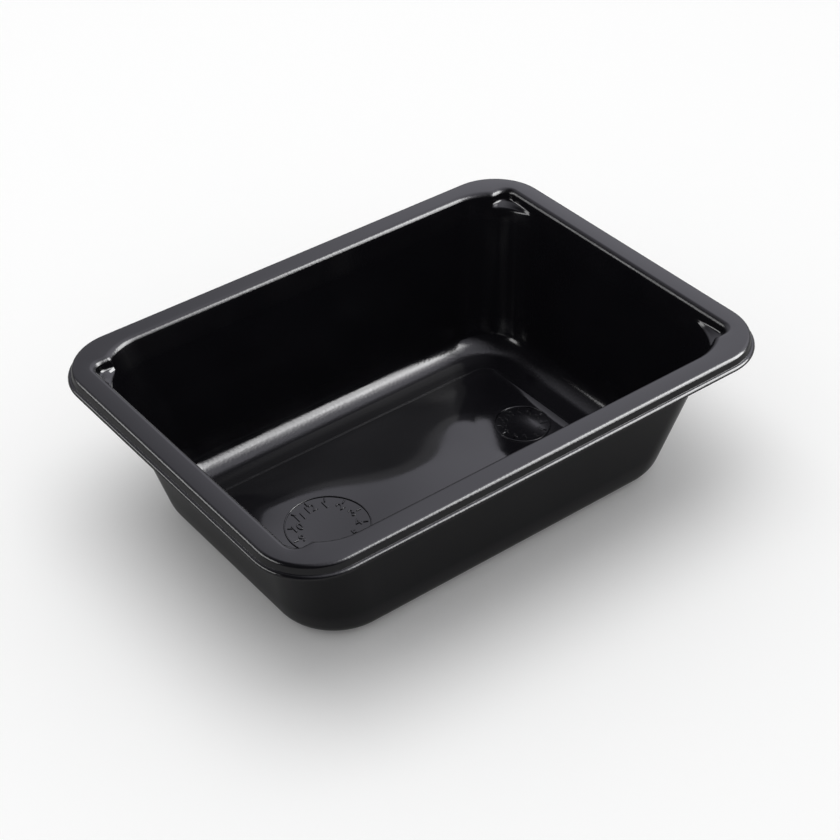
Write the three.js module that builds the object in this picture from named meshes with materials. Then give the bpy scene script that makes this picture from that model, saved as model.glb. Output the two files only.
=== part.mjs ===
// A black thermoformed food tray: one drawn plastic sheet with a floor, four leaning walls,
// a flat sealing flange, a stepped rim with a short outward lip, and a stacking pocket in
// each corner of the mouth. Millimetres, +Z up, the origin under the middle of the base.

import * as THREE from 'three';

// Sizes over all
const trayLength = 187;
const trayWidth = 138.7;
const trayHeight = 54.3;
const sheet = 0.7;

// Rim: the flat flange, the step down from it and the lip that turns outwards
const flangeWidth = 7.3;
const rimCornerRadius = 20.4;
const flangeEdgeRadius = 1;
const stepDrop = 2.9;
const stepLean = 0.2;
const grooveRadius = 0.6;
const lipReach = 2;
const lipEdgeRadius = 0.8;
const lipTuck = 0.3;
const lipDrop = 0.9;

// Cavity: the walls lean inwards on the way down to a rounded floor edge
const draftAngle = 13;
const mouthRadius = 1.5;
const mouthCornerRadius = 19;
const baseCornerRadius = 19.5;
const floorRadius = 7.7;

// Floor: a ring that the tray stands on, round a panel that is raised a little
const footWidth = 12.8;
const panelRise = 0.8;
const panelStepRun = 1.2;
const panelEdgeRadius = 0.8;

// Stacking pockets: each squares off the end of a mouth corner, down to a ledge
const pocketDepth = 4.3;
const pocketAngle = 50;
const pocketCornerRadius = 3.6;
const ledgeEdge = 0.9;
const ledgeFall = 0.3;

// Finish
const trayColour = 0x19191b;
const trayRoughness = 0.15;

// Fineness of the facets, and the least radius of a rounded edge and of a rounded corner
const pocketStraightSteps = 4;
const pocketBendSteps = 5;
const pocketEndSteps = 2;
const freeArcSteps = 5;
const floorSteps = 5;
const edgeSteps = 3;
const softSteps = 2;
const leastEdge = 0.1;
const leastCorner = 1;

const draft = THREE.MathUtils.degToRad(draftAngle);
const pocketReachAngle = THREE.MathUtils.degToRad(pocketAngle);
const wallAcross = sheet / Math.cos(draft);
const rimWidth = flangeWidth + lipReach;
const mouthHalfX = trayLength / 2 - rimWidth;
const mouthHalfY = trayWidth / 2 - rimWidth;

// In a section, x runs outwards from the edge of the mouth and y runs up from the base.

// The inner face of the wall, at a height
function wallLine(height) {
  return -Math.tan(draft) * (trayHeight - height);
}

// The corner radius of that face, seen from above
function wallCornerRadius(height) {
  return THREE.MathUtils.lerp(baseCornerRadius, mouthCornerRadius, height / trayHeight);
}

// The upper face as a line with sharp corners, from the raised panel out to the trimmed lip
function upperLine() {
  const foot = wallLine(sheet);
  const panel = foot - footWidth;
  const step = flangeWidth + stepLean;
  const shelf = trayHeight - stepDrop;
  return [
    { x: panel - footWidth, y: sheet + panelRise },
    { x: panel - panelStepRun, y: sheet + panelRise, radius: panelEdgeRadius, steps: softSteps },
    { x: panel, y: sheet, radius: panelEdgeRadius, steps: softSteps },
    { x: foot, y: sheet, radius: floorRadius, steps: floorSteps },
    { x: 0, y: trayHeight, radius: mouthRadius, steps: edgeSteps },
    { x: flangeWidth, y: trayHeight, radius: flangeEdgeRadius, steps: edgeSteps },
    { x: step, y: shelf, radius: grooveRadius, steps: softSteps },
    { x: rimWidth - lipTuck, y: shelf, radius: lipEdgeRadius, steps: edgeSteps },
    { x: rimWidth, y: shelf - lipDrop },
  ].map((corner) => ({ ...corner, place: new THREE.Vector2(corner.x, corner.y) }));
}

// The underside: the same line, one sheet thickness below and outside the upper one
function lowerLine(upper) {
  const sides = upper.slice(1).map((corner, i) => {
    const along = corner.place.clone().sub(upper[i].place).normalize();
    const away = new THREE.Vector2(along.y, -along.x).multiplyScalar(sheet);
    return { along, start: upper[i].place.clone().add(away), end: corner.place.clone().add(away) };
  });
  return upper.map((corner, i) => {
    if (i === 0) {
      return { ...corner, place: sides[0].start };
    }
    if (i === sides.length) {
      return { ...corner, place: sides[i - 1].end };
    }
    const before = sides[i - 1];
    const after = sides[i];
    const turn = before.along.cross(after.along);
    const run = after.start.clone().sub(before.start).cross(after.along) / turn;
    const place = before.start.clone().addScaledVector(before.along, run);
    const radius = Math.max(corner.radius + Math.sign(turn) * sheet, leastEdge);
    return { ...corner, place, radius };
  });
}

// Points of the arc that rounds one corner of a line
function roundedCorner(line, index) {
  const { place, radius, steps } = line[index];
  const back = line[index - 1].place.clone().sub(place);
  const ahead = line[index + 1].place.clone().sub(place);
  const room = Math.min(back.length(), ahead.length()) / 2;
  back.normalize();
  ahead.normalize();
  const halfAngle = Math.acos(back.dot(ahead)) / 2;
  const setBack = Math.min(radius / Math.tan(halfAngle), room);
  const inwards = back.clone().add(ahead).normalize();
  const centre = place.clone().addScaledVector(inwards, setBack / Math.cos(halfAngle));
  const first = place.clone().addScaledVector(back, setBack).sub(centre);
  const last = place.clone().addScaledVector(ahead, setBack).sub(centre);
  const turn = Math.atan2(first.cross(last), first.dot(last));
  return Array.from({ length: steps + 1 }, (_, step) => {
    const spoke = first.clone().rotateAround(new THREE.Vector2(), (turn * step) / steps);
    return centre.clone().add(spoke);
  });
}

// A station of the loft: how far out it lies, how high, its corner radius seen from above,
// and how far it has followed the pocket outwards. The shares are those of the ledge's inner
// edge, of its flat and of its root.
function cavityStation(point, shares = { edge: 0, flat: 0, root: 0 }) {
  const aside = point.x - wallLine(point.y);
  return {
    out: point.x,
    up: point.y,
    cornerRadius: Math.max(wallCornerRadius(point.y) + aside, leastCorner),
    aside,
    shares,
  };
}

function rimStation(point) {
  return {
    out: point.x,
    up: point.y,
    cornerRadius: Math.max(rimCornerRadius - rimWidth + point.x, leastCorner),
    aside: 0,
    shares: null,
  };
}

// The wall turns out over the pocket's ledge and up again, at heights that are the same all
// round, so that it stays straight where there is no pocket
function ledgeStations(aside) {
  const ledge = trayHeight - pocketDepth - aside;
  const stations = [];
  for (let step = 0; step <= softSteps; step += 1) {
    const angle = (step / softSteps) * (Math.PI / 2);
    const up = ledge - ledgeFall / 2 - ledgeEdge * (1 - Math.sin(angle));
    const shares = { edge: 1 - Math.cos(angle), flat: 0, root: 0 };
    stations.push(cavityStation(new THREE.Vector2(wallLine(up) + aside, up), shares));
  }
  for (let step = 0; step <= softSteps; step += 1) {
    const angle = (step / softSteps) * (Math.PI / 2);
    const up = ledge + ledgeFall / 2 + ledgeEdge * (1 - Math.cos(angle));
    const shares = { edge: 1, flat: 1, root: Math.sin(angle) };
    stations.push(cavityStation(new THREE.Vector2(wallLine(up) + aside, up), shares));
  }
  return stations;
}

// One face of the sheet, from the middle of the floor to the lip
function faceStations(line, aside) {
  const inPocket = { edge: 1, flat: 1, root: 1 };
  const [panelTop, panelFoot, floorEdge, mouth, ...rim] = line
    .slice(1, -1)
    .map((_, i) => roundedCorner(line, i + 1));
  return [
    ...[...panelTop, ...panelFoot, ...floorEdge].map((point) => cavityStation(point)),
    ...ledgeStations(aside),
    ...mouth.map((point) => cavityStation(point, inPocket)),
    ...rim.flat().map(rimStation),
    rimStation(line[line.length - 1].place),
  ];
}

// Distance from the middle of a corner's arc to the outline of its pocket, which is flush
// with the short wall, ends across the corner and has a rounded corner of its own
function pocketOutline(angle, reachX, reachY, radius) {
  const direction = new THREE.Vector2(Math.cos(angle), Math.sin(angle));
  if (reachX * direction.y <= (reachY - radius) * direction.x) {
    return reachX / direction.x;
  }
  if (reachY * direction.x <= (reachX - radius) * direction.y) {
    return reachY / direction.y;
  }
  const bend = new THREE.Vector2(reachX - radius, reachY - radius);
  const along = direction.dot(bend);
  return along + Math.sqrt(along * along - bend.lengthSq() + radius * radius);
}

// How far the surface of a station lies outside the corner's plain arc, in a pocket
function pocketReach(station, angle) {
  if (station.shares === null) {
    return 0;
  }
  const { edge, flat, root } = station.shares;
  const plain = station.cornerRadius - station.aside;
  const end = plain * Math.sin(pocketReachAngle) + station.aside;
  const bend = pocketCornerRadius + station.aside;
  const outline = pocketOutline(angle, station.cornerRadius, end, bend);
  const full = Math.max(outline - station.cornerRadius, 0);
  const rounding = Math.min(ledgeEdge, full / 2);
  return rounding * (edge + root) + (full - 2 * rounding) * flat;
}

// The angles of a corner's points, closest together where the pocket bends and ends
function cornerAngles() {
  const end = mouthCornerRadius * Math.sin(pocketReachAngle);
  const bendStart = Math.atan2(end - pocketCornerRadius, mouthCornerRadius);
  const bendEnd = Math.atan2(end, mouthCornerRadius - pocketCornerRadius);
  const marks = [0, bendStart, bendEnd, pocketReachAngle, Math.PI / 2].sort((a, b) => a - b);
  const steps = [pocketStraightSteps, pocketBendSteps, pocketEndSteps, freeArcSteps];
  const angles = steps.flatMap((count, span) =>
    Array.from({ length: count }, (_, step) =>
      THREE.MathUtils.lerp(marks[span], marks[span + 1], step / count)));
  return [...angles, Math.PI / 2];
}

// The outline of a station seen from above: a rounded rectangle, with the pockets
function outline(station, angles) {
  const centreX = mouthHalfX + station.out - station.cornerRadius;
  const centreY = mouthHalfY + station.out - station.cornerRadius;
  const corner = angles.map((angle) => {
    const reach = station.cornerRadius + pocketReach(station, angle);
    return [centreX + reach * Math.cos(angle), centreY + reach * Math.sin(angle)];
  });
  const reversed = corner.slice().reverse();
  const halfX = centreX + station.cornerRadius;
  const halfY = centreY + station.cornerRadius;
  const around = [
    [halfX, 0],
    ...corner,
    [0, halfY],
    ...reversed.map(([x, y]) => [-x, y]),
    [-halfX, 0],
    ...corner.map(([x, y]) => [-x, -y]),
    [0, -halfY],
    ...reversed.map(([x, y]) => [x, -y]),
  ];
  return around.map(([x, y]) => new THREE.Vector3(x, y, station.up));
}

// A closed skin over rings of equally many points, with a fan to the middle at either end
function loft(rings) {
  const count = rings[0].length;
  const middles = [rings[0], rings[rings.length - 1]].map((ring) => new THREE.Vector3(0, 0, ring[0].z));
  const points = [...rings.flat(), ...middles];
  const firstMiddle = rings.length * count;
  const lastMiddle = firstMiddle + 1;
  const lastRing = firstMiddle - count;
  const faces = [];
  for (let i = 0; i < count; i += 1) {
    const next = (i + 1) % count;
    faces.push(firstMiddle, i, next);
    faces.push(lastMiddle, lastRing + next, lastRing + i);
    for (let start = 0; start < lastRing; start += count) {
      const outer = start + count;
      faces.push(start + i, outer + i, outer + next);
      faces.push(start + i, outer + next, start + next);
    }
  }
  const geometry = new THREE.BufferGeometry().setFromPoints(points);
  geometry.setIndex(faces);
  geometry.computeVertexNormals();
  return geometry;
}

function trayGeometry() {
  const upper = upperLine();
  const upperStations = faceStations(upper, 0);
  const lowerStations = faceStations(lowerLine(upper), wallAcross);
  const angles = cornerAngles();
  const stations = [...upperStations, ...lowerStations.reverse()];
  return loft(stations.map((station) => outline(station, angles)));
}

const trayPlastic = new THREE.MeshStandardMaterial({
  color: trayColour,
  roughness: trayRoughness,
  metalness: 0,
});

const tray = new THREE.Mesh(trayGeometry(), trayPlastic);
tray.name = 'tray';

const group = new THREE.Group();
group.name = 'food_tray';
group.add(tray);

export default group;
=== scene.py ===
# A black thermoformed food tray on a white table in soft studio light. Metres, +Z up, and
# the tray's own frame: the origin lies under the middle of its base.

import math

import bmesh
import bpy
from mathutils import Matrix, Vector


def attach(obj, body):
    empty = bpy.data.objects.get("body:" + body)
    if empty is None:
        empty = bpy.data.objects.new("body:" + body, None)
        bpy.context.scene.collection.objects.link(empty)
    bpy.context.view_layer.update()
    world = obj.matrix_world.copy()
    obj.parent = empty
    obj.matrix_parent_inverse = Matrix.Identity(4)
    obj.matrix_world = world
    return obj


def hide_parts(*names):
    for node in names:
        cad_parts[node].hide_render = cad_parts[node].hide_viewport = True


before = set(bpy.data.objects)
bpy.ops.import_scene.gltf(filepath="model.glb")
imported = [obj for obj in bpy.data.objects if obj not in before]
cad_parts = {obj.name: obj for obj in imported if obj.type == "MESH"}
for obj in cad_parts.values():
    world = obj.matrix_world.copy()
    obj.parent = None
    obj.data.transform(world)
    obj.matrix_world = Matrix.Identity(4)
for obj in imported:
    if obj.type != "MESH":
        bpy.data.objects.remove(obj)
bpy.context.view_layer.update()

MM = 0.001

# Sizes over all, in millimetres, as in the part's own source
TRAY_LENGTH = 187.0
TRAY_WIDTH = 138.7
TRAY_HEIGHT = 54.3
SHEET = 0.7

# Rim: the flat flange, the step down from it and the lip that turns outwards
FLANGE_WIDTH = 7.6
RIM_CORNER_RADIUS = 20.4
FLANGE_EDGE_RADIUS = 1.4
STEP_DROP = 2.95
STEP_LEAN = 0.55
GROOVE_RADIUS = 0.12
LIP_REACH = 1.6
LIP_EDGE_RADIUS = 1.2
LIP_TUCK = 0.05
LIP_DROP = 1.2
TRIM_RADIUS = 0.12

# Cavity
DRAFT = math.radians(13.1)
MOUTH_RADIUS = 2.0
MOUTH_CORNER_RADIUS = 19.0
BASE_CORNER_RADIUS = 19.5
FLOOR_RADIUS = 7.7

# Floor: the ring that the tray stands on and the raised panel inside it
FOOT_WIDTH = 12.8
PANEL_RISE = 0.8
PANEL_STEP_RUN = 1.2
PANEL_EDGE_RADIUS = 0.8

# Stacking pockets
POCKET_DEPTH = 4.3
POCKET_ANGLE = math.radians(50)
POCKET_CORNER_RADIUS = 3.6
LEDGE_EDGE = 0.9
LEDGE_FALL = 0.8

# Slow warp of the drawn floor, a belly along the panel that swings from end to end, and the
# sink of its right end. It reaches no higher than the floor, and is milder underneath.
WARP_HEIGHT = 0.153
WARP_SWING = 0.45
WARP_LENGTH = (84.0, 56.5)
WARP_START = (-42.0, 9.0)
WARP_HALF_SIZE = (58.0, 34.0)
WARP_FADE = 0.8
WARP_UNDERNEATH = 0.6
WARPED_BELOW = (3.0, 6.0)
SINK_DEPTH = 0.72
SINK_RUN = (26.0, 48.0)
SINK_FADE = (57.0, 59.0)

# Faint waves of the sheet, which die out towards the rim
WAVE_HEIGHT = 0.05
WAVE_SIZE = 22.0
WAVE_SEED = 3.0
STILL_ABOVE = 46.0
STILLING_SHARE = 0.6

# Dials moulded on the floor: middle, radius and size of the numbers
DIALS = (
    ("floor_dial_left", (-37.0, -1.5), 14.0, 4.4),
    ("floor_dial_right", (46.0, 0.5), 9.5, 3.0),
)
DIAL_NUMBERS = 12
MARK_RELIEF = 0.3
MARK_ROOT = 0.12
MARK_LINE = 0.5
MARK_BEVEL = 0.12
TICK_SHARE = 0.12
TICK_INSET = 0.8
NUMBER_SHARE = 0.7
RING_SIDES = 96
BEAD_SIDES = 12

# Fineness of the mesh
ARC_STEPS = 9
SOFT_STEPS = 5
TRIM_STEPS = 2
LONGEST_STATION = 2.6
POCKET_STEPS = (7, 14, 6, 16)
LONG_SIDE_STEPS = 40
SHORT_SIDE_STEPS = 26
WELD = 0.002
MARK_WELD = 0.001

LEAST_EDGE = 0.1
WALL_ACROSS = SHEET / math.cos(DRAFT)
RIM_WIDTH = FLANGE_WIDTH + LIP_REACH
MOUTH_HALF_X = TRAY_LENGTH / 2 - RIM_WIDTH
MOUTH_HALF_Y = TRAY_WIDTH / 2 - RIM_WIDTH


# The section of the sheet. x runs outwards from the mouth's edge and y runs up from the base.

def wall_line(height):
    return -math.tan(DRAFT) * (TRAY_HEIGHT - height)


def wall_corner_radius(height):
    share = height / TRAY_HEIGHT
    return BASE_CORNER_RADIUS + (MOUTH_CORNER_RADIUS - BASE_CORNER_RADIUS) * share


def upper_line():
    """The upper face with sharp corners: place, radius and steps of each."""
    foot = wall_line(SHEET)
    panel = foot - FOOT_WIDTH
    shelf = TRAY_HEIGHT - STEP_DROP
    corners = [
        (panel - FOOT_WIDTH, SHEET + PANEL_RISE, 0, 0),
        (panel - PANEL_STEP_RUN, SHEET + PANEL_RISE, PANEL_EDGE_RADIUS, SOFT_STEPS),
        (panel, SHEET, PANEL_EDGE_RADIUS, SOFT_STEPS),
        (foot, SHEET, FLOOR_RADIUS, ARC_STEPS),
        (0, TRAY_HEIGHT, MOUTH_RADIUS, ARC_STEPS),
        (FLANGE_WIDTH, TRAY_HEIGHT, FLANGE_EDGE_RADIUS, ARC_STEPS),
        (FLANGE_WIDTH + STEP_LEAN, shelf, GROOVE_RADIUS, SOFT_STEPS),
        (RIM_WIDTH - LIP_TUCK, shelf, LIP_EDGE_RADIUS, ARC_STEPS),
        (RIM_WIDTH, shelf - LIP_DROP, TRIM_RADIUS, TRIM_STEPS),
    ]
    return [(Vector((x, y)), radius, steps) for x, y, radius, steps in corners]


def lower_line(upper):
    """The underside: the same line, one sheet thickness below and outside."""
    sides = []
    for (start, _, _), (end, _, _) in zip(upper, upper[1:]):
        along = (end - start).normalized()
        away = Vector((along.y, -along.x)) * SHEET
        sides.append((along, start + away, end + away))
    corners = [(sides[0][1], 0, 0)]
    for index, (before, after) in enumerate(zip(sides, sides[1:]), start=1):
        turn = before[0].cross(after[0])
        run = (after[1] - before[1]).cross(after[0]) / turn
        _, radius, steps = upper[index]
        radius = max(radius + math.copysign(SHEET, turn), LEAST_EDGE)
        corners.append((before[1] + before[0] * run, radius, steps))
    corners.append((sides[-1][2], TRIM_RADIUS, TRIM_STEPS))
    return corners


def wanted_set_back(line, index):
    """How far along its sides the rounding of a corner would start, with room enough."""
    if index in (0, len(line) - 1):
        return 0.0
    place, radius, _ = line[index]
    back = line[index - 1][0] - place
    ahead = line[index + 1][0] - place
    return radius / math.tan(back.angle(ahead) / 2)


def rounded_corner(line, index):
    """Points of the arc that rounds a corner; neighbours share the side between them."""
    place, _, steps = line[index]
    back = line[index - 1][0] - place
    ahead = line[index + 1][0] - place
    wanted = wanted_set_back(line, index)
    set_back = wanted * min(
        1.0,
        back.length / (wanted + wanted_set_back(line, index - 1)),
        ahead.length / (wanted + wanted_set_back(line, index + 1)),
    )
    half_angle = back.angle(ahead) / 2
    back.normalize()
    ahead.normalize()
    centre = place + (back + ahead).normalized() * (set_back / math.cos(half_angle))
    first = place + back * set_back - centre
    last = place + ahead * set_back - centre
    turn = math.atan2(first.cross(last), first.dot(last))
    points = []
    for step in range(steps + 1):
        angle = turn * step / steps
        sine, cosine = math.sin(angle), math.cos(angle)
        spoke = Vector((first.x * cosine - first.y * sine, first.x * sine + first.y * cosine))
        points.append(centre + spoke)
    return points


# How dull the sheet is: the flats took the tool's polish, and drawing dulls the bends.
FLAT_DULL = 0.0
BEND_DULL = 1.0
WALL_DULL = 0.35
EDGE_DULL = 0.75
MOUTH_DULL = 1.3

# Where along a bend its own dullness sets in and fades, and where its far side takes over
BEND_FULL_FROM = 1 / 6
BEND_FADES_FROM = 0.3
BEND_FADED_BY = 0.8
BEND_SIDE_TURNS = 0.25

# A station of the sweep: out, up, corner radius seen from above, distance from the wall's
# inner face, the shares of a pocket's ledge edge, ledge flat and ledge root, and the dullness.
NO_POCKET = (0.0, 0.0, 0.0)
IN_POCKET = (1.0, 1.0, 1.0)


def cavity_station(point, shares=NO_POCKET, dull=WALL_DULL):
    aside = point.x - wall_line(point.y)
    return (point.x, point.y, wall_corner_radius(point.y) + aside, aside, *shares, dull)


def rim_station(point, dull):
    corner_radius = RIM_CORNER_RADIUS - RIM_WIDTH + point.x
    return (point.x, point.y, corner_radius, 0.0, *NO_POCKET, dull)


def bend_stations(arc, start_dull, bend_dull, end_dull, make):
    """Stations over an arc, dullest a quarter of the way round."""
    stations = []
    for step, point in enumerate(arc):
        share = step / (len(arc) - 1)
        side = start_dull if share < BEND_SIDE_TURNS else end_dull
        falling = (BEND_FADED_BY - share) / (BEND_FADED_BY - BEND_FADES_FROM)
        fade = min(1.0, share / BEND_FULL_FROM, max(0.0, falling))
        stations.append(make(point, side + (bend_dull - side) * fade))
    return stations


def ledge_stations(aside):
    ledge = TRAY_HEIGHT - POCKET_DEPTH - aside
    stations = []
    for step in range(SOFT_STEPS + 1):
        angle = step / SOFT_STEPS * math.pi / 2
        up = ledge - LEDGE_FALL / 2 - LEDGE_EDGE * (1 - math.sin(angle))
        shares = (1 - math.cos(angle), 0.0, 0.0)
        stations.append(cavity_station(Vector((wall_line(up) + aside, up)), shares))
    for step in range(SOFT_STEPS + 1):
        angle = step / SOFT_STEPS * math.pi / 2
        up = ledge + LEDGE_FALL / 2 + LEDGE_EDGE * (1 - math.cos(angle))
        shares = (1.0, 1.0, math.sin(angle))
        stations.append(cavity_station(Vector((wall_line(up) + aside, up)), shares))
    return stations


def face_stations(line, trim_end, aside):
    """One face of the sheet, from the middle line of the floor to the trimmed edge."""
    closed = line + [trim_end]
    arcs = [rounded_corner(closed, index) for index in range(1, len(line))]
    panel_top, panel_foot, floor_edge, mouth = arcs[:4]
    middle = (-MOUTH_HALF_Y, line[0][0].y, 0.0, 0.0, *NO_POCKET, FLAT_DULL)

    def plain(point, dull):
        return cavity_station(point, NO_POCKET, dull)

    def in_pocket(point, dull):
        return cavity_station(point, IN_POCKET, dull)

    stations = [middle]
    stations += [plain(point, FLAT_DULL) for point in panel_top + panel_foot]
    stations += bend_stations(floor_edge, FLAT_DULL, BEND_DULL, WALL_DULL, plain)
    stations += ledge_stations(aside)
    stations += bend_stations(mouth, WALL_DULL, MOUTH_DULL, FLAT_DULL, in_pocket)
    flange_edge, *lip = arcs[4:]
    stations += bend_stations(flange_edge, FLAT_DULL, EDGE_DULL, EDGE_DULL, rim_station)
    stations += [rim_station(point, EDGE_DULL) for arc in lip for point in arc]
    return stations


def refined(stations):
    """The stations with more between those that lie far apart."""
    fine = [stations[0]]
    for before, after in zip(stations, stations[1:]):
        gap = math.hypot(after[0] - before[0], after[1] - before[1])
        parts = max(1, math.ceil(gap / LONGEST_STATION))
        for part in range(1, parts + 1):
            share = part / parts
            fine.append(tuple(a + (b - a) * share for a, b in zip(before, after)))
    return fine


def section_stations():
    upper = upper_line()
    lower = lower_line(upper)
    over = face_stations(upper, lower[-1], 0.0)
    under = face_stations(lower, upper[-1], WALL_ACROSS)
    return refined(over + under[::-1])


# The outline that the section follows, as hub and spoke factors: a hub of 1, 1 is the
# middle of a corner's arc, and the spoke is the direction from it.

def corner_angles():
    end = MOUTH_CORNER_RADIUS * math.sin(POCKET_ANGLE)
    bend_start = math.atan2(end - POCKET_CORNER_RADIUS, MOUTH_CORNER_RADIUS)
    bend_end = math.atan2(end, MOUTH_CORNER_RADIUS - POCKET_CORNER_RADIUS)
    marks = (0.0, bend_start, bend_end, POCKET_ANGLE, math.pi / 2)
    angles = [0.0]
    for start, stop, steps in zip(marks, marks[1:], POCKET_STEPS):
        angles += [start + (stop - start) * step / steps for step in range(1, steps + 1)]
    return angles


def outline_factors():
    angles = corner_angles()
    places = []

    def corner(side_x, side_y, turns):
        for angle in turns:
            spoke = (side_x * math.cos(angle), side_y * math.sin(angle))
            places.append(((side_x, side_y), spoke))

    def long_side(side_y, start, stop):
        for step in range(1, LONG_SIDE_STEPS):
            share = start + (stop - start) * step / LONG_SIDE_STEPS
            places.append(((share, side_y), (0.0, side_y)))

    def short_side(side_x, start, stop):
        for step in range(1, SHORT_SIDE_STEPS):
            share = start + (stop - start) * step / SHORT_SIDE_STEPS
            places.append(((side_x, share), (side_x, 0.0)))

    corner(1.0, 1.0, angles)
    long_side(1.0, 1.0, -1.0)
    corner(-1.0, 1.0, angles[::-1])
    short_side(-1.0, 1.0, -1.0)
    corner(-1.0, -1.0, angles)
    long_side(-1.0, -1.0, 1.0)
    corner(1.0, -1.0, angles[::-1])
    short_side(1.0, -1.0, 1.0)
    return places


# Helpers for node trees

class Nodes:
    """Adds nodes to a tree, and takes plain values or sockets as inputs."""

    def __init__(self, tree):
        self.tree = tree

    def feed(self, socket, value):
        if isinstance(value, bpy.types.NodeSocket):
            self.tree.links.new(value, socket)
        else:
            socket.default_value = value

    def add(self, kind, inputs=None, **settings):
        node = self.tree.nodes.new(kind)
        for name, value in settings.items():
            setattr(node, name, value)
        for name, value in (inputs or {}).items():
            self.feed(node.inputs[name], value)
        return node

    def math(self, operation, *values):
        node = self.tree.nodes.new("ShaderNodeMath")
        node.operation = operation
        for socket, value in zip(node.inputs, values):
            self.feed(socket, value)
        return node.outputs[0]

    def vector(self, operation, *values):
        node = self.tree.nodes.new("ShaderNodeVectorMath")
        node.operation = operation
        for socket, value in zip(node.inputs, values):
            self.feed(socket, value)
        return node.outputs["Vector"]

    def dot(self, first, second):
        node = self.tree.nodes.new("ShaderNodeVectorMath")
        node.operation = "DOT_PRODUCT"
        self.feed(node.inputs[0], first)
        self.feed(node.inputs[1], second)
        return node.outputs["Value"]

    def map(self, value, low, high, to_low, to_high):
        """Goes smoothly from one number to another while the value goes from low to high."""
        node = self.add("ShaderNodeMapRange", interpolation_type="SMOOTHSTEP")
        for socket, number in zip(node.inputs, (value, low, high, to_low, to_high)):
            self.feed(socket, number)
        return node.outputs[0]

    def mix(self, kind, share, first, second):
        """A mix of two numbers (FLOAT) or two colours (RGBA)."""
        node = self.add("ShaderNodeMix", data_type=kind)
        inputs = [socket for socket in node.inputs if socket.enabled]
        for socket, value in zip(inputs, (share, first, second)):
            self.feed(socket, value)
        return next(socket for socket in node.outputs if socket.enabled)

    def choose(self, condition, if_false, if_true):
        node = self.add("GeometryNodeSwitch", input_type="FLOAT")
        self.feed(node.inputs["Switch"], condition)
        self.feed(node.inputs["False"], if_false)
        self.feed(node.inputs["True"], if_true)
        return node.outputs[0]

    def combine(self, **axes):
        node = self.add("ShaderNodeCombineXYZ", axes)
        return node.outputs[0]


def geometry_tree(name, inputs):
    """A new Geometry Nodes tree: the tree, its nodes, its named inputs and its output."""
    tree = bpy.data.node_groups.new(name, "GeometryNodeTree")
    tree.interface.new_socket("Geometry", in_out="INPUT", socket_type="NodeSocketGeometry")
    for title, kind in inputs:
        tree.interface.new_socket(title, in_out="INPUT", socket_type="NodeSocket" + kind)
    tree.interface.new_socket("Geometry", in_out="OUTPUT", socket_type="NodeSocketGeometry")
    nodes = Nodes(tree)
    given = nodes.add("NodeGroupInput").outputs
    result = nodes.add("NodeGroupOutput").inputs["Geometry"]
    return tree, nodes, given, result


def point_mesh(name, places, columns):
    """A mesh of loose points that carries columns of numbers as attributes."""
    mesh = bpy.data.meshes.new(name)
    mesh.from_pydata(places, [], [])
    for column, values in columns.items():
        mesh.attributes.new(column, "FLOAT", "POINT").data.foreach_set("value", values)
    return bpy.data.objects.new(name, mesh)


STATION_COLUMNS = ("out", "up", "corner", "aside", "edge", "flat", "root", "dull")
LENGTH_COLUMNS = STATION_COLUMNS[:4]


def section_object():
    stations = section_stations()
    columns = {}
    for index, column in enumerate(STATION_COLUMNS):
        unit = MM if column in LENGTH_COLUMNS else 1.0
        columns[column] = [station[index] * unit for station in stations]
    places = [(station[0] * MM, 0.0, station[1] * MM) for station in stations]
    return point_mesh("tray_section", places, columns)


def outline_object():
    factors = outline_factors()
    columns = {
        "hub_x": [hub[0] for hub, _ in factors],
        "hub_y": [hub[1] for hub, _ in factors],
        "spoke_x": [spoke[0] for _, spoke in factors],
        "spoke_y": [spoke[1] for _, spoke in factors],
    }
    places = [(hub[0] + spoke[0], hub[1] + spoke[1], 0.0) for hub, spoke in factors]
    return point_mesh("tray_outline", places, columns)


def pocket_outline(nodes, across, along, reach_x, reach_y, radius):
    """Distance from the middle of a corner's arc to the outline of its pocket."""
    bend_x = nodes.math("SUBTRACT", reach_x, radius)
    bend_y = nodes.math("SUBTRACT", reach_y, radius)
    dot = nodes.math("MULTIPLY_ADD", across, bend_x, nodes.math("MULTIPLY", along, bend_y))
    bend_square = nodes.math("MULTIPLY", bend_y, bend_y)
    bend_square = nodes.math("MULTIPLY_ADD", bend_x, bend_x, bend_square)
    under_root = nodes.math("MULTIPLY", dot, dot)
    under_root = nodes.math("SUBTRACT", under_root, bend_square)
    under_root = nodes.math("MULTIPLY_ADD", radius, radius, under_root)
    on_bend = nodes.math("ADD", dot, nodes.math("SQRT", nodes.math("MAXIMUM", under_root, 0.0)))
    by_wall = nodes.math("DIVIDE", reach_x, across)
    by_end = nodes.math("DIVIDE", reach_y, along)
    wall_meets = nodes.math("MULTIPLY", reach_x, along)
    wall_limit = nodes.math("MULTIPLY", bend_y, across)
    end_meets = nodes.math("MULTIPLY", reach_y, across)
    end_limit = nodes.math("MULTIPLY", bend_x, along)
    past_bend = nodes.math("LESS_THAN", end_meets, end_limit)
    before_bend = nodes.math("LESS_THAN", wall_meets, wall_limit)
    return nodes.choose(before_bend, nodes.choose(past_bend, on_bend, by_end), by_wall)


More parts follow.
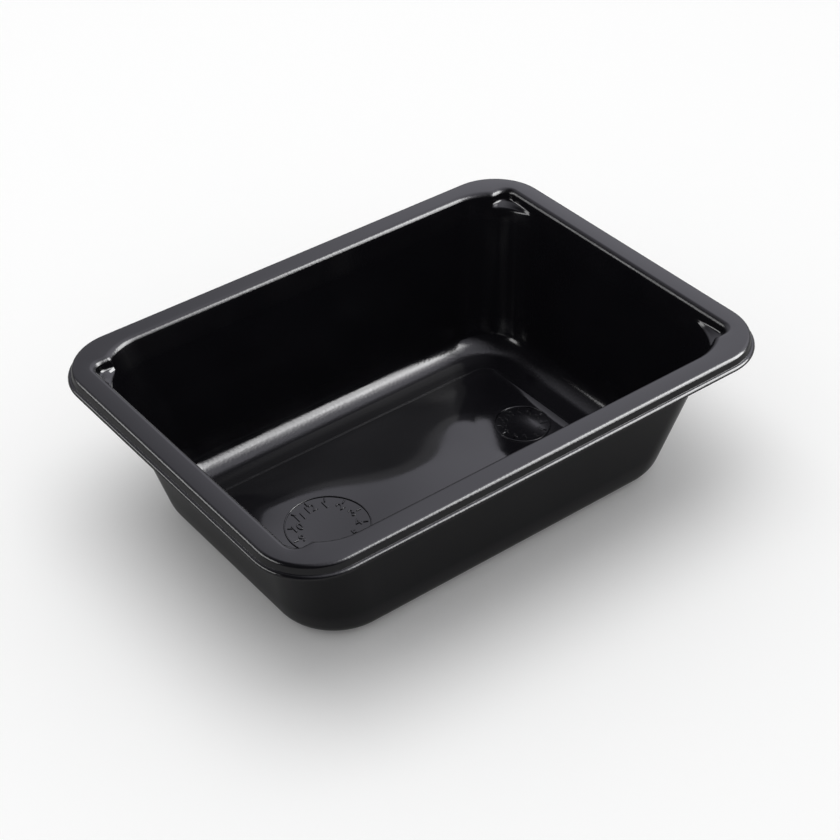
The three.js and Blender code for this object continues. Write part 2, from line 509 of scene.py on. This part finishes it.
def floor_warp(nodes, position, given):
    """How far the drawn floor bellies up or down; it dies out at the panel's edge."""
    split = nodes.add("ShaderNodeSeparateXYZ", {"Vector": position}).outputs

    def turn(axis, start, length):
        run = nodes.math("SUBTRACT", split[axis], given[start])
        return nodes.math("DIVIDE", nodes.math("MULTIPLY", run, 2 * math.pi), given[length])

    def inside(axis, half):
        start = nodes.math("MULTIPLY", given[half], WARP_FADE)
        return nodes.map(nodes.math("ABSOLUTE", split[axis]), start, given[half], 1.0, 0.0)

    along = nodes.math("COSINE", turn("X", "Warp Start X", "Warp Length X"))
    along = nodes.math("MULTIPLY_ADD", along, given["Warp Swing"], given["Warp Height"])
    across = nodes.math("SINE", turn("Y", "Warp Start Y", "Warp Length Y"))
    sink = nodes.map(split["X"], given["Sink Start"], given["Sink End"], 0.0, 1.0)
    sink = nodes.math("MULTIPLY", sink, given["Sink Depth"])
    panel_end = nodes.map(split["X"], given["Sink Fade Start"], given["Sink Fade End"], 1.0, 0.0)
    sink = nodes.math("MULTIPLY", sink, panel_end)
    belly = nodes.math("MULTIPLY", along, across)
    belly = nodes.math("MULTIPLY", belly, inside("X", "Warp Half Length"))
    height = nodes.math("SUBTRACT", belly, sink)
    low = nodes.map(split["Z"], WARPED_BELOW[0] * MM, WARPED_BELOW[1] * MM, 1.0, 0.0)
    underneath = nodes.map(split["Z"], PANEL_RISE * MM, (SHEET + PANEL_RISE) * MM,
                           WARP_UNDERNEATH, 1.0)
    for mask in (low, underneath, inside("Y", "Warp Half Width")):
        height = nodes.math("MULTIPLY", height, mask)
    return height


def smooth_step(value, low, high):
    share = min(max((value - low) / (high - low), 0.0), 1.0)
    return share * share * (3 - 2 * share)


def floor_height(x, y):
    """The warped top of the floor's panel, in millimetres; the marks are seated on it."""
    along = WARP_HEIGHT + WARP_SWING * math.cos(2 * math.pi * (x - WARP_START[0]) / WARP_LENGTH[0])
    across = math.sin(2 * math.pi * (y - WARP_START[1]) / WARP_LENGTH[1])
    half_x, half_y = WARP_HALF_SIZE
    belly = along * across * (1 - smooth_step(abs(x), half_x * WARP_FADE, half_x))
    sink = SINK_DEPTH * smooth_step(x, *SINK_RUN) * (1 - smooth_step(x, *SINK_FADE))
    height = (belly - sink) * (1 - smooth_step(abs(y), half_y * WARP_FADE, half_y))
    return SHEET + PANEL_RISE + height


SWEEP_INPUTS = (
    ("Outline", "Object"),
    ("Mouth Half Length", "Float"),
    ("Mouth Half Width", "Float"),
    ("Pocket Angle", "Float"),
    ("Pocket Corner Radius", "Float"),
    ("Ledge Edge", "Float"),
    ("Wave Height", "Float"),
    ("Wave Size", "Float"),
    ("Wave Seed", "Float"),
    ("Still Above", "Float"),
    ("Warp Height", "Float"),
    ("Warp Swing", "Float"),
    ("Warp Length X", "Float"),
    ("Warp Length Y", "Float"),
    ("Warp Start X", "Float"),
    ("Warp Start Y", "Float"),
    ("Warp Half Length", "Float"),
    ("Warp Half Width", "Float"),
    ("Sink Depth", "Float"),
    ("Sink Start", "Float"),
    ("Sink End", "Float"),
    ("Sink Fade Start", "Float"),
    ("Sink Fade End", "Float"),
    ("Plastic", "Material"),
)


def sweep_tree():
    """Carries the sheet's section round the tray's outline, pockets included."""
    tree, nodes, given, result = geometry_tree("Sheet round the tray", SWEEP_INPUTS)
    section = given["Geometry"]
    outline = nodes.add("GeometryNodeObjectInfo", {"Object": given["Outline"]})
    outline = outline.outputs["Geometry"]

    def count(geometry):
        size = nodes.add("GeometryNodeAttributeDomainSize", {"Geometry": geometry})
        return size.outputs["Point Count"]

    def sample(geometry, column, index):
        named = nodes.add("GeometryNodeInputNamedAttribute", data_type="FLOAT")
        named.inputs["Name"].default_value = column
        taken = nodes.add("GeometryNodeSampleIndex", data_type="FLOAT", domain="POINT")
        nodes.feed(taken.inputs["Geometry"], geometry)
        nodes.feed(taken.inputs["Value"], named.outputs["Attribute"])
        nodes.feed(taken.inputs["Index"], index)
        return taken.outputs["Value"]

    around = count(outline)
    across_count = nodes.math("ADD", around, 1.0)
    grid = nodes.add("GeometryNodeMeshGrid")
    nodes.feed(grid.inputs["Vertices X"], count(section))
    nodes.feed(grid.inputs["Vertices Y"], across_count)
    index = nodes.add("GeometryNodeInputIndex").outputs[0]
    station = nodes.math("DIVIDE", nodes.math("ADD", index, 0.5), across_count)
    station = nodes.math("FLOOR", station)
    column = nodes.math("MULTIPLY", station, across_count)
    place = nodes.math("MODULO", nodes.math("SUBTRACT", index, column), around)

    value = {name: sample(section, name, station) for name in STATION_COLUMNS}
    hub_x, hub_y = (sample(outline, name, place) for name in ("hub_x", "hub_y"))
    spoke_x, spoke_y = (sample(outline, name, place) for name in ("spoke_x", "spoke_y"))

    plain = nodes.math("SUBTRACT", value["corner"], value["aside"])
    sine = nodes.math("SINE", given["Pocket Angle"])
    end = nodes.math("MULTIPLY_ADD", plain, sine, value["aside"])
    bend = nodes.math("ADD", given["Pocket Corner Radius"], value["aside"])
    across = nodes.math("ABSOLUTE", spoke_x)
    along = nodes.math("ABSOLUTE", spoke_y)
    edge = pocket_outline(nodes, across, along, value["corner"], end, bend)
    full = nodes.math("MAXIMUM", nodes.math("SUBTRACT", edge, value["corner"]), 0.0)
    rounding = nodes.math("MINIMUM", given["Ledge Edge"], nodes.math("MULTIPLY", full, 0.5))
    ends = nodes.math("ADD", value["edge"], value["root"])
    flat = nodes.math("MULTIPLY_ADD", rounding, -2.0, full)
    reach = nodes.math("MULTIPLY_ADD", flat, value["flat"], value["corner"])
    reach = nodes.math("MULTIPLY_ADD", rounding, ends, reach)

    def coordinate(half, hub, spoke):
        centre = nodes.math("ADD", half, value["out"])
        centre = nodes.math("SUBTRACT", centre, value["corner"])
        return nodes.math("MULTIPLY_ADD", hub, centre, nodes.math("MULTIPLY", reach, spoke))

    position = nodes.combine(X=coordinate(given["Mouth Half Length"], hub_x, spoke_x),
                             Y=coordinate(given["Mouth Half Width"], hub_y, spoke_y),
                             Z=value["up"])

    noise = nodes.add("ShaderNodeTexNoise", noise_dimensions="4D")
    nodes.feed(noise.inputs["Vector"], position)
    nodes.feed(noise.inputs["W"], given["Wave Seed"])
    nodes.feed(noise.inputs["Scale"], nodes.math("DIVIDE", 1.0, given["Wave Size"]))
    nodes.feed(noise.inputs["Detail"], 1.0)
    swing = nodes.vector("SUBTRACT", noise.outputs["Color"], (0.5, 0.5, 0.5))
    stilling = nodes.math("MULTIPLY", given["Still Above"], STILLING_SHARE)
    calm = nodes.map(value["up"], stilling, given["Still Above"], 1.0, 0.0)
    height = nodes.math("MULTIPLY", calm, given["Wave Height"])
    scaled = nodes.add("ShaderNodeVectorMath", operation="SCALE")
    nodes.feed(scaled.inputs[0], swing)
    nodes.feed(scaled.inputs["Scale"], height)
    moved = nodes.vector("ADD", position, scaled.outputs["Vector"])
    warped = nodes.combine(Z=floor_warp(nodes, position, given))
    moved = nodes.vector("ADD", moved, warped)
    moved = nodes.vector("MAXIMUM", moved, (-1.0, -1.0, 0.0))

    placed = nodes.add("GeometryNodeSetPosition")
    nodes.feed(placed.inputs["Geometry"], grid.outputs["Mesh"])
    nodes.feed(placed.inputs["Position"], moved)
    marked = nodes.add("GeometryNodeStoreNamedAttribute", {"Geometry": placed.outputs["Geometry"]})
    marked.data_type = "FLOAT"
    marked.domain = "POINT"
    marked.inputs["Name"].default_value = "dull"
    nodes.feed(marked.inputs["Value"], value["dull"])
    closed = nodes.add("GeometryNodeMergeByDistance")
    nodes.feed(closed.inputs["Geometry"], marked.outputs["Geometry"])
    nodes.feed(closed.inputs["Distance"], WELD * MM)
    smooth = nodes.add("GeometryNodeSetShadeSmooth", {"Geometry": closed.outputs["Geometry"]})
    real = nodes.add("GeometryNodeRealizeInstances", {"Geometry": smooth.outputs["Geometry"]})
    finished = nodes.add("GeometryNodeSetMaterial")
    nodes.feed(finished.inputs["Geometry"], real.outputs["Geometry"])
    nodes.feed(finished.inputs["Material"], given["Plastic"])
    nodes.feed(result, finished.outputs["Geometry"])
    return tree


def made_real(name, worker, scratch=()):
    """The evaluated worker as a plain mesh object; the worker and its helpers go."""
    graph = bpy.context.evaluated_depsgraph_get()
    mesh = bpy.data.meshes.new_from_object(worker.evaluated_get(graph))
    mesh.name = name
    for extra in (worker, *scratch):
        bpy.data.objects.remove(extra)
    piece = bpy.data.objects.new(name, mesh)
    bpy.context.scene.collection.objects.link(piece)
    return piece


def set_inputs(modifier, values):
    for item in modifier.node_group.interface.items_tree:
        if item.item_type == "SOCKET" and item.in_out == "INPUT" and item.name in values:
            modifier[item.identifier] = values[item.name]


def tray_piece(plastic):
    worker = section_object()
    outline = outline_object()
    for helper in (worker, outline):
        bpy.context.scene.collection.objects.link(helper)
    modifier = worker.modifiers.new("sweep", "NODES")
    modifier.node_group = sweep_tree()
    set_inputs(modifier, {
        "Outline": outline,
        "Mouth Half Length": MOUTH_HALF_X * MM,
        "Mouth Half Width": MOUTH_HALF_Y * MM,
        "Pocket Angle": POCKET_ANGLE,
        "Pocket Corner Radius": POCKET_CORNER_RADIUS * MM,
        "Ledge Edge": LEDGE_EDGE * MM,
        "Warp Height": WARP_HEIGHT * MM,
        "Warp Swing": WARP_SWING * MM,
        "Warp Length X": WARP_LENGTH[0] * MM,
        "Warp Length Y": WARP_LENGTH[1] * MM,
        "Warp Start X": WARP_START[0] * MM,
        "Warp Start Y": WARP_START[1] * MM,
        "Warp Half Length": WARP_HALF_SIZE[0] * MM,
        "Warp Half Width": WARP_HALF_SIZE[1] * MM,
        "Sink Depth": SINK_DEPTH * MM,
        "Sink Start": SINK_RUN[0] * MM,
        "Sink End": SINK_RUN[1] * MM,
        "Sink Fade Start": SINK_FADE[0] * MM,
        "Sink Fade End": SINK_FADE[1] * MM,
        "Wave Height": WAVE_HEIGHT * MM,
        "Wave Size": WAVE_SIZE * MM,
        "Wave Seed": WAVE_SEED,
        "Still Above": STILL_ABOVE * MM,
        "Plastic": plastic,
    })
    return made_real("tray_shell", worker, (outline,))


# The dials on the floor

DIAL_INPUTS = (
    ("Radius", "Float"),
    ("Line Width", "Float"),
    ("Tick Length", "Float"),
    ("Tick Count", "Int"),
    ("Plastic", "Material"),
)


def dial_tree():
    """A raised ring with ticks inside it, centred on its own middle height."""
    tree, nodes, given, result = geometry_tree("Dial ring and ticks", DIAL_INPUTS)

    circle = nodes.add("GeometryNodeCurvePrimitiveCircle", {"Resolution": RING_SIDES})
    nodes.feed(circle.inputs["Radius"], given["Radius"])
    bead = nodes.add("GeometryNodeCurvePrimitiveCircle", {"Resolution": BEAD_SIDES})
    nodes.feed(bead.inputs["Radius"], nodes.math("MULTIPLY", given["Line Width"], 0.5))
    ring = nodes.add("GeometryNodeCurveToMesh")
    nodes.feed(ring.inputs["Curve"], circle.outputs["Curve"])
    nodes.feed(ring.inputs["Profile Curve"], bead.outputs["Curve"])

    spots = nodes.add("GeometryNodeCurvePrimitiveCircle")
    gap = nodes.math("ADD", given["Tick Length"], given["Line Width"])
    inner = nodes.math("MULTIPLY_ADD", gap, -TICK_INSET, given["Radius"])
    nodes.feed(spots.inputs["Radius"], inner)
    nodes.feed(spots.inputs["Resolution"], given["Tick Count"])
    line = nodes.add("GeometryNodeCurvePrimitiveLine")
    for side, share in (("Start", -0.5), ("End", 0.5)):
        tip = nodes.math("MULTIPLY", given["Tick Length"], share)
        nodes.feed(line.inputs[side], nodes.combine(Y=tip))
    tick = nodes.add("GeometryNodeCurveToMesh", {"Fill Caps": True})
    nodes.feed(tick.inputs["Curve"], line.outputs["Curve"])
    nodes.feed(tick.inputs["Profile Curve"], bead.outputs["Curve"])
    tangent = nodes.add("GeometryNodeInputTangent")
    align = nodes.add("FunctionNodeAlignRotationToVector", axis="X")
    nodes.feed(align.inputs["Vector"], tangent.outputs["Tangent"])
    ticks = nodes.add("GeometryNodeInstanceOnPoints")
    nodes.feed(ticks.inputs["Points"], spots.outputs["Curve"])
    nodes.feed(ticks.inputs["Instance"], tick.outputs["Mesh"])
    nodes.feed(ticks.inputs["Rotation"], align.outputs["Rotation"])

    joined = nodes.add("GeometryNodeJoinGeometry")
    nodes.feed(joined.inputs["Geometry"], ring.outputs["Mesh"])
    nodes.feed(joined.inputs["Geometry"], ticks.outputs["Instances"])
    real = nodes.add("GeometryNodeRealizeInstances", {"Geometry": joined.outputs["Geometry"]})
    finished = nodes.add("GeometryNodeSetMaterial")
    nodes.feed(finished.inputs["Geometry"], real.outputs["Geometry"])
    nodes.feed(finished.inputs["Material"], given["Plastic"])
    nodes.feed(result, finished.outputs["Geometry"])
    return tree


def number_mesh(text, size):
    """A number as a solid mesh, centred on its own middle height."""
    curve = bpy.data.curves.new("number", "FONT")
    curve.body = text
    curve.size = size * MM
    curve.align_x = "CENTER"
    curve.align_y = "CENTER"
    curve.extrude = ((MARK_RELIEF + MARK_ROOT) / 2 - MARK_BEVEL) * MM
    curve.bevel_depth = MARK_BEVEL * MM
    curve.offset = -0.5 * MARK_BEVEL * MM
    curve.resolution_u = 6
    holder = bpy.data.objects.new("number", curve)
    bpy.context.scene.collection.objects.link(holder)
    graph = bpy.context.evaluated_depsgraph_get()
    mesh = bpy.data.meshes.new_from_object(holder.evaluated_get(graph))
    bpy.data.objects.remove(holder)
    bpy.data.curves.remove(curve)
    return mesh


def dial(name, middle, radius, size, tree, plastic):
    """Ring, ticks and numbers as one mesh, seated on the warped floor."""
    worker = bpy.data.objects.new("dial_worker", bpy.data.meshes.new("dial_worker"))
    bpy.context.scene.collection.objects.link(worker)
    modifier = worker.modifiers.new("dial", "NODES")
    modifier.node_group = tree
    set_inputs(modifier, {
        "Radius": radius * MM,
        "Line Width": MARK_LINE * MM,
        "Tick Length": radius * TICK_SHARE * MM,
        "Tick Count": DIAL_NUMBERS,
        "Plastic": plastic,
    })
    piece = made_real(name, worker)
    shape = bmesh.new()
    shape.from_mesh(piece.data)
    for number in range(1, DIAL_NUMBERS + 1):
        angle = 2 * math.pi * number / DIAL_NUMBERS
        mesh = number_mesh(str(number), size)
        spot = Vector((math.sin(angle), math.cos(angle), 0.0)) * radius * NUMBER_SHARE * MM
        mesh.transform(Matrix.Translation(spot))
        shape.from_mesh(mesh)
        bpy.data.meshes.remove(mesh)
    bmesh.ops.remove_doubles(shape, verts=shape.verts, dist=MARK_WELD * MM)
    bmesh.ops.recalc_face_normals(shape, faces=shape.faces)
    for vertex in shape.verts:
        place = vertex.co
        x, y = place.x / MM + middle[0], place.y / MM + middle[1]
        up = floor_height(x, y) + (MARK_RELIEF - MARK_ROOT) / 2 + place.z / MM
        vertex.co = Vector((x, y, up)) * MM
    shape.to_mesh(piece.data)
    shape.free()
    piece.data.materials.clear()
    piece.data.materials.append(plastic)
    for face in piece.data.polygons:
        face.material_index = 0
    return piece


# Materials

def new_material(name):
    material = bpy.data.materials.new(name)
    material.use_nodes = True
    material.node_tree.nodes.clear()
    nodes = Nodes(material.node_tree)
    output = nodes.add("ShaderNodeOutputMaterial")
    shader = nodes.add("ShaderNodeBsdfPrincipled")
    nodes.feed(output.inputs["Surface"], shader.outputs["BSDF"])
    return material, nodes, shader


# Tray plastic: two tones of black that drift into each other, and at each tone the
# roughness of a flat, what full dullness adds to it, and the specular level of a drawn wall
DARK_TONE = (0.0040, 0.0038, 0.0050, 1.0)
LIGHT_TONE = (0.0056, 0.0054, 0.0068, 1.0)
CLOUD_SCALE = 60.0
CLOUD_RANGE = (0.3, 0.7)
FLAT_ROUGHNESS = (0.06, 0.09)
DULL_ROUGHNESS = (0.15, 0.19)
FULL_SHEEN = 0.5
INNER_WALL_SHEEN = 0.1
OUTER_WALL_SHEEN = 0.22
WALL_STARTS = (7.0, 13.0)
WALL_ENDS = (44.0, 48.0)
WALL_TURNS = 5.0
GRAIN_SCALE = 1100.0
GRAIN_HEIGHT = 0.08
GRAIN_STRENGTH = 0.6
FLAT_GRAIN = 0.04


def noise(nodes, place, scale):
    texture = nodes.add("ShaderNodeTexNoise")
    nodes.feed(texture.inputs["Vector"], place)
    texture.inputs["Scale"].default_value = scale
    texture.inputs["Detail"].default_value = 1.0
    return texture.outputs["Fac"]


def wall_sheen(nodes, place, facing):
    """The specular level: full on the floor and rim, lower on the drawn walls, and lowest
    on their inner side."""
    height = nodes.add("ShaderNodeSeparateXYZ", {"Vector": place}).outputs["Z"]
    above = nodes.map(height, WALL_STARTS[0] * MM, WALL_STARTS[1] * MM, 0.0, 1.0)
    below = nodes.map(height, WALL_ENDS[0] * MM, WALL_ENDS[1] * MM, 1.0, 0.0)
    wall = nodes.math("MULTIPLY", above, below)
    outwards = nodes.dot(facing, nodes.vector("MULTIPLY", place, (1.0, 1.0, 0.0)))
    sheen = nodes.map(outwards, -WALL_TURNS * MM, WALL_TURNS * MM,
                      INNER_WALL_SHEEN, OUTER_WALL_SHEEN)
    return nodes.math("MULTIPLY_ADD", wall, nodes.math("SUBTRACT", sheen, FULL_SHEEN), FULL_SHEEN)


def tray_plastic():
    """Black sheet: bright on the flats, duller and pebbled where the "dull" attribute says
    that it was drawn round a bend."""
    material, nodes, shader = new_material("tray_plastic")
    shader.inputs["IOR"].default_value = 1.5
    coordinates = nodes.add("ShaderNodeTexCoord").outputs
    place = coordinates["Object"]
    dull = nodes.add("ShaderNodeAttribute", attribute_name="dull").outputs["Fac"]
    cloud = noise(nodes, place, CLOUD_SCALE)
    nodes.feed(shader.inputs["Base Color"], nodes.mix("RGBA", cloud, DARK_TONE, LIGHT_TONE))
    smooth = nodes.map(cloud, *CLOUD_RANGE, *FLAT_ROUGHNESS)
    spread = nodes.map(cloud, *CLOUD_RANGE, *DULL_ROUGHNESS)
    nodes.feed(shader.inputs["Roughness"], nodes.math("MULTIPLY_ADD", dull, spread, smooth))
    sheen = wall_sheen(nodes, place, coordinates["Normal"])
    nodes.feed(shader.inputs["Specular IOR Level"], sheen)
    bump = nodes.add("ShaderNodeBump")
    bump.inputs["Strength"].default_value = GRAIN_STRENGTH
    bump.inputs["Distance"].default_value = GRAIN_HEIGHT * MM
    pebbles = nodes.map(dull, 0.0, 1.0, FLAT_GRAIN, 1.0)
    pebbles = nodes.math("MULTIPLY", noise(nodes, place, GRAIN_SCALE), pebbles)
    nodes.feed(bump.inputs["Height"], pebbles)
    nodes.feed(shader.inputs["Normal"], bump.outputs["Normal"])
    return material


TABLE_SEEN = (0.95, 0.95, 0.95, 1.0)
# Painted shade: the grey that the tray's gloss mirrors and that bounced light takes, in place of
# the table's own shade round the tray.
TABLE_PAINTED_SHADE = (0.38, 0.38, 0.38, 1.0)


def table_white():
    """White to the eye. The tray's gloss mirrors it grey and bounced light takes that grey, which
    is painted shade in place of the table's shade round the tray.
    """
    material, nodes, shader = new_material("table_white")
    seen = nodes.add("ShaderNodeLightPath").outputs["Is Camera Ray"]
    nodes.feed(shader.inputs["Base Color"], nodes.mix("RGBA", seen, TABLE_PAINTED_SHADE, TABLE_SEEN))
    shader.inputs["Roughness"].default_value = 0.9
    shader.inputs["Specular IOR Level"].default_value = 0.0
    return material


# The set: table, surroundings, lamps and camera. As the plastic mirrors it, the room is
# white beyond the tray, weaker on its left and low down, and has a halo round the near lamp.
# Directions are in the tray's frame, and a range is of the cosine of the angle to one.

TABLE_RADIUS = 3.0
TABLE_SIDES = 96
TABLE_DROP = 0.05
ROOM_SEEN = 1.0
ROOM_LIGHT = 0.68
BEYOND = (0.596, 0.803, 0.0)
BEYOND_RANGE = (-0.05, 0.75)
BEYOND_STRENGTH = (0.02, 1.15)
RIGHT_SIDE = (0.766, -0.643, 0.0)
SIDE_RANGE = (-0.25, 0.05)
SIDE_STRENGTH = (0.6, 1.2)
UP_RANGE = (0.05, 0.5)
UP_STRENGTH = (0.3, 1.0)
NEAR_LAMP = (0.507, -0.396, 0.766)
HALO_RANGE = (0.55, 1.0)
HALO_STRENGTH = (0.0, 1.3)
PLAIN_LIGHT = (1.0, 1.0, 1.0, 1.0)
MIRRORED_LIGHT = (0.98, 0.97, 1.08, 1.0)


def table():
    bpy.ops.mesh.primitive_circle_add(vertices=TABLE_SIDES, radius=TABLE_RADIUS, fill_type="NGON",
                                      location=(0.0, 0.0, -TABLE_DROP * MM))
    floor = bpy.context.object
    floor.name = "table"
    floor.data.materials.append(table_white())


def mirrored_room(nodes):
    """How strong the room is in the gloss, by direction."""
    direction = nodes.add("ShaderNodeTexCoord").outputs["Generated"]
    height = nodes.add("ShaderNodeSeparateXYZ", {"Vector": direction}).outputs["Z"]
    beyond = nodes.map(nodes.dot(direction, BEYOND), *BEYOND_RANGE, *BEYOND_STRENGTH)
    aside = nodes.map(nodes.dot(direction, RIGHT_SIDE), *SIDE_RANGE, *SIDE_STRENGTH)
    up = nodes.map(height, *UP_RANGE, *UP_STRENGTH)
    halo = nodes.map(nodes.dot(direction, NEAR_LAMP), *HALO_RANGE, *HALO_STRENGTH)
    room = nodes.math("MULTIPLY", nodes.math("MULTIPLY", beyond, aside), up)
    return nodes.math("ADD", room, halo)


def surroundings():
    """White to the eye. In the gloss it is white beyond the tray and falls off overhead and
    on the near side; as a light it is quieter."""
    world = bpy.data.worlds.new("white_room")
    bpy.context.scene.world = world
    world.use_nodes = True
    world.node_tree.nodes.clear()
    nodes = Nodes(world.node_tree)
    output = nodes.add("ShaderNodeOutputWorld")
    background = nodes.add("ShaderNodeBackground")
    nodes.feed(output.inputs["Surface"], background.outputs["Background"])
    path = nodes.add("ShaderNodeLightPath").outputs
    mirrored = nodes.math("MAXIMUM", path["Is Glossy Ray"], path["Is Transmission Ray"])
    strength = nodes.mix("FLOAT", mirrored, ROOM_LIGHT, mirrored_room(nodes))
    strength = nodes.mix("FLOAT", path["Is Camera Ray"], strength, ROOM_SEEN)
    nodes.feed(background.inputs["Strength"], strength)
    tint = nodes.mix("RGBA", mirrored, PLAIN_LIGHT, MIRRORED_LIGHT)
    nodes.feed(background.inputs["Color"], tint)


def lamp(name, azimuth, elevation, distance, size, radiance, in_gloss=True, on_matt=True):
    """A softbox seen from the tray; azimuth turns from +Y towards +X."""
    turn, lift = math.radians(azimuth), math.radians(elevation)
    direction = Vector((math.sin(turn) * math.cos(lift), math.cos(turn) * math.cos(lift),
                        math.sin(lift)))
    data = bpy.data.lights.new(name, "AREA")
    data.shape = "RECTANGLE"
    data.size, data.size_y = size
    data.energy = radiance * size[0] * size[1] * math.pi
    holder = bpy.data.objects.new(name, data)
    holder.location = Vector((0.0, 0.0, TRAY_HEIGHT * MM)) + direction * distance
    holder.rotation_mode = "QUATERNION"
    holder.rotation_quaternion = direction.to_track_quat("Z", "Y")
    holder.visible_glossy = in_gloss
    holder.visible_diffuse = on_matt
    bpy.context.scene.collection.objects.link(holder)


def lamps():
    """Softboxes that the gloss alone sees, and one overhead that lights without being seen."""
    lamp("right_softbox", 131.0, 26.0, 1.6, (1.1, 1.56), 6.5, on_matt=False)
    lamp("right_core", 124.5, 27.0, 1.65, (0.73, 1.34), 7.0, on_matt=False)
    lamp("right_upper", 131.0, 36.0, 1.7, (1.44, 1.66), 3.0, on_matt=False)
    lamp("left_softbox", -62.0, 20.0, 1.6, (1.67, 0.57), 5.0, on_matt=False)
    lamp("top_softbox", 20.0, 84.0, 1.6, (1.6, 1.6), 1.6, in_gloss=False)


# The photograph's own camera, in millimetres and radians; the target is at flange height
CAMERA_YAW = -0.63801
CAMERA_PITCH = 0.65916
CAMERA_ROLL = -0.02607
CAMERA_DISTANCE = 586.29
CAMERA_TARGET = (-21.18, -31.35)
CAMERA_LENS = 84.03
SENSOR_WIDTH = 36.0


def camera():
    data = bpy.data.cameras.new("camera")
    data.sensor_width = SENSOR_WIDTH
    data.lens = CAMERA_LENS
    data.clip_start = 0.01
    data.clip_end = 50.0
    flat = math.cos(CAMERA_PITCH)
    back = Vector((math.sin(CAMERA_YAW) * flat, -math.cos(CAMERA_YAW) * flat,
                   math.sin(CAMERA_PITCH)))
    level = Vector((math.cos(CAMERA_YAW), math.sin(CAMERA_YAW), 0.0))
    upright = back.cross(level)
    right = math.cos(CAMERA_ROLL) * level + math.sin(CAMERA_ROLL) * upright
    up = -math.sin(CAMERA_ROLL) * level + math.cos(CAMERA_ROLL) * upright
    target = Vector((*CAMERA_TARGET, TRAY_HEIGHT))
    place = (target + back * CAMERA_DISTANCE) * MM
    holder = bpy.data.objects.new("camera", data)
    turn = Matrix((right, up, back)).transposed().to_4x4()
    holder.matrix_world = Matrix.Translation(place) @ turn
    bpy.context.scene.collection.objects.link(holder)
    bpy.context.scene.camera = holder


plastic = tray_plastic()
shell = tray_piece(plastic)
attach(shell, "root")
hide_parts("tray")

rings = dial_tree()
for name, middle, radius, size in DIALS:
    mark = dial(name, middle, radius, size, rings, plastic)
    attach(mark, "root")

table()
surroundings()
lamps()
camera()
bpy.context.scene.view_settings.view_transform = "Standard"
